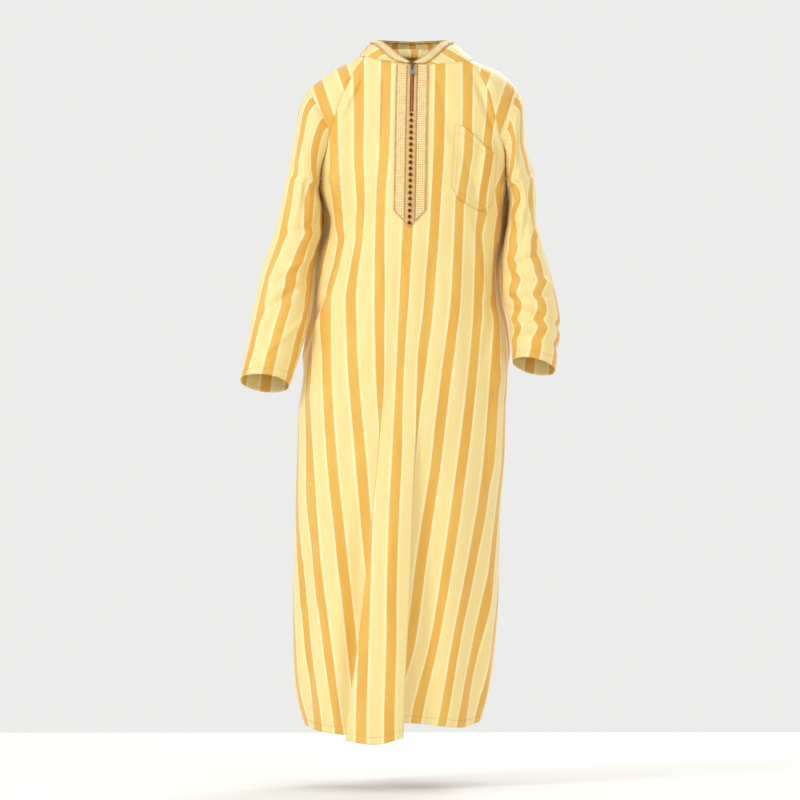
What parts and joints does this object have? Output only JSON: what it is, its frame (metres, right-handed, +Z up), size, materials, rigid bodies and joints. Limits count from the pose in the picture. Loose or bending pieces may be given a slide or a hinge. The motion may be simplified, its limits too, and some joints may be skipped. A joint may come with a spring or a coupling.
{
  "type": "hooded striped robe",
  "caption": "Ankle-length hooded robe in striped cloth, long sleeves, embroidered neck placket with a short zip and knot buttons, chest pocket, hood lying down behind.",
  "frame": {"origin": "middle of the neck opening at the height of the front shoulder seams, where the robe hangs from the wearer's shoulders", "axes": "+Z up along the body, -Y the way the front faces, +X the viewer's right and the wearer's left"},
  "size_m": [0.6572, 0.3483, 1.4462],
  "materials": {
    "front": "soft satin-like striped cloth",
    "back": "soft satin-like striped cloth",
    "shoulder_left": "soft satin-like striped cloth",
    "shoulder_right": "soft satin-like striped cloth",
    "sleeve_left": "soft satin-like striped cloth",
    "sleeve_right": "soft satin-like striped cloth",
    "hood": "soft satin-like striped cloth",
    "pocket": "soft satin-like striped cloth",
    "hood_trim": "matt embroidered braid",
    "placket_left": "matt embroidered braid",
    "placket_right": "matt embroidered braid",
    "placket_band": "smooth ribbon with stitched edges",
    "zip_tape": "woven tape",
    "zip_slider": "dark gunmetal",
    "pull_tab": "worn grey metal",
    "knot_01": "tight silky cord",
    "knot_02": "tight silky cord",
    "knot_03": "tight silky cord",
    "knot_04": "tight silky cord",
    "knot_05": "tight silky cord",
    "knot_06": "tight silky cord",
    "knot_07": "tight silky cord",
    "knot_08": "tight silky cord",
    "knot_09": "tight silky cord",
    "knot_10": "tight silky cord",
    "knot_11": "tight silky cord",
    "knot_12": "tight silky cord",
    "knot_13": "tight silky cord",
    "knot_14": "tight silky cord",
    "knot_15": "tight silky cord",
    "knot_16": "tight silky cord",
    "knot_17": "tight silky cord",
    "knot_18": "tight silky cord",
    "knot_19": "tight silky cord"
  },
  "bodies": {
    "robe": {"front": "front", "back": "back", "shoulder_left": "shoulder_left", "shoulder_right": "shoulder_right", "sleeve_left": "sleeve_left", "sleeve_right": "sleeve_right", "hood": "hood", "pocket": "pocket", "hood_trim": "hood_trim", "placket_left": "placket_left", "placket_right": "placket_right", "placket_band": "placket_band", "zip_tape": "zip_tape", "zip_slider": "zip_slider", "knot_01": "knot_01", "knot_02": "knot_02", "knot_03": "knot_03", "knot_04": "knot_04", "knot_05": "knot_05", "knot_06": "knot_06", "knot_07": "knot_07", "knot_08": "knot_08", "knot_09": "knot_09", "knot_10": "knot_10", "knot_11": "knot_11", "knot_12": "knot_12", "knot_13": "knot_13", "knot_14": "knot_14", "knot_15": "knot_15", "knot_16": "knot_16", "knot_17": "knot_17", "knot_18": "knot_18", "knot_19": "knot_19"},
    "pull": {"pull_tab": "pull_tab"}
  },
  "joints": [
    {"name": "pull_hinge", "type": "hinge", "parent": "robe", "child": "pull", "pos_m": [0.0007, -0.08923, -0.02187], "axis": [-1, 0, 0], "range_deg": [0, 150]}
  ]
}
